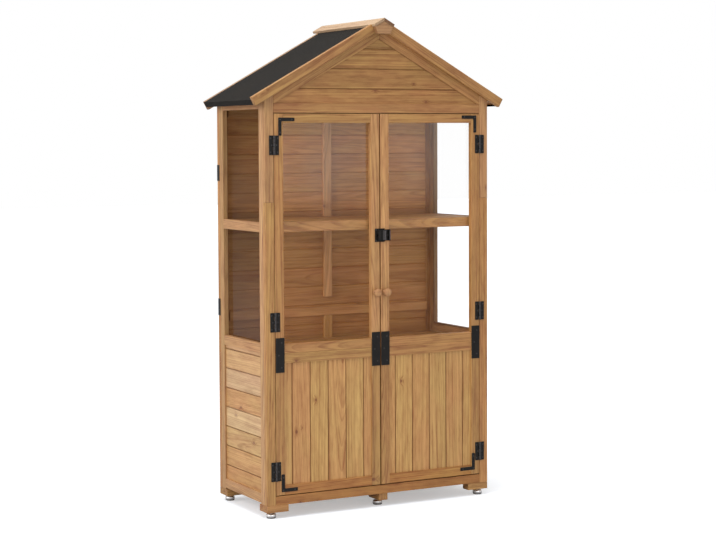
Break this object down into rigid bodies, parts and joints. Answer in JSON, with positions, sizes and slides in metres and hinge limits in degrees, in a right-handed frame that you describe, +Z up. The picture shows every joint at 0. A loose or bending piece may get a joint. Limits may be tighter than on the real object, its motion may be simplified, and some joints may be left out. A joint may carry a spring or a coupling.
{
  "type": "wooden mini greenhouse",
  "caption": "Free-standing softwood greenhouse cabinet with a pitched felt roof, clear panes above, boarded sides below, shelves inside and two hinged doors with a slide latch.",
  "frame": {"origin": "on the ground, under the middle of the whole part's footprint", "axes": "+X to the right seen from the front, +Y from the doors towards the back wall, +Z up"},
  "size_m": [1.1262, 0.5296, 1.9299],
  "materials": {
    "frame_wood": "planed softwood, golden brown stain",
    "board_wood": "planed softwood boards, lighter golden brown stain",
    "inside_wood": "planed softwood, stained, in the shade",
    "clear_pane": "clear acrylic sheet",
    "roof_felt": "mineral-faced bitumen felt",
    "black_metal": "black powder coat, satin",
    "glide_steel": "zinc-plated steel",
    "glide_pad": "black plastic pad"
  },
  "bodies": {
    "cabinet": {"left_side_frame": "frame_wood", "right_side_frame": "frame_wood", "left_side_boards": "board_wood", "right_side_boards": "board_wood", "left_side_pane": "clear_pane", "right_side_pane": "clear_pane", "left_front_post": "frame_wood", "right_front_post": "frame_wood", "back_frame": "frame_wood", "back_boards": "inside_wood", "front_bottom_rail": "frame_wood", "front_header_rail": "frame_wood", "front_gable_panel": "frame_wood", "upper_shelf": "frame_wood", "middle_shelf": "frame_wood", "floor_panel": "inside_wood", "left_roof_deck": "inside_wood", "right_roof_deck": "inside_wood", "left_roof_felt": "roof_felt", "right_roof_felt": "roof_felt", "front_left_barge_board": "frame_wood", "front_right_barge_board": "frame_wood", "rear_left_barge_board": "frame_wood", "rear_right_barge_board": "frame_wood", "ridge_cap": "board_wood", "apex_block": "frame_wood", "front_left_foot": "frame_wood", "front_middle_foot": "frame_wood", "front_right_foot": "frame_wood", "rear_left_foot": "frame_wood", "rear_right_foot": "frame_wood", "left_top_post_hinge_leaf": "black_metal", "left_middle_post_hinge_leaf": "black_metal", "left_bottom_post_hinge_leaf": "black_metal", "right_top_post_hinge_leaf": "black_metal", "right_middle_post_hinge_leaf": "black_metal", "right_bottom_post_hinge_leaf": "black_metal"},
    "left_door": {"left_door_upper_frame": "frame_wood", "left_door_lower_frame": "frame_wood", "left_door_pane": "clear_pane", "left_door_boards": "board_wood", "left_door_knob": "frame_wood", "left_door_inner_plate": "black_metal", "left_door_outer_plate": "black_metal", "left_top_door_hinge_leaf": "black_metal", "left_middle_door_hinge_leaf": "black_metal", "left_bottom_door_hinge_leaf": "black_metal", "latch_keeper": "black_metal"},
    "right_door": {"right_door_upper_frame": "frame_wood", "right_door_lower_frame": "frame_wood", "right_door_pane": "clear_pane", "right_door_boards": "board_wood", "right_door_knob": "frame_wood", "right_door_inner_plate": "black_metal", "right_door_outer_plate": "black_metal", "right_top_door_hinge_leaf": "black_metal", "right_middle_door_hinge_leaf": "black_metal", "right_bottom_door_hinge_leaf": "black_metal", "latch_base": "black_metal"},
    "latch_bolt": {"latch_bolt": "black_metal"}
  },
  "joints": [
    {"name": "left_door_hinge", "type": "hinge", "parent": "cabinet", "child": "left_door", "pos_m": [-0.4615, -0.2268, 0.8235], "axis": [0, 0, -1], "range_deg": [0, 170]},
    {"name": "right_door_hinge", "type": "hinge", "parent": "cabinet", "child": "right_door", "pos_m": [0.4615, -0.2268, 0.8235], "axis": [0, 0, 1], "range_deg": [0, 170]},
    {"name": "latch_slide", "type": "slide", "parent": "right_door", "child": "latch_bolt", "axis": [-1, 0, 0], "range_m": [0, 0.01]}
  ]
}
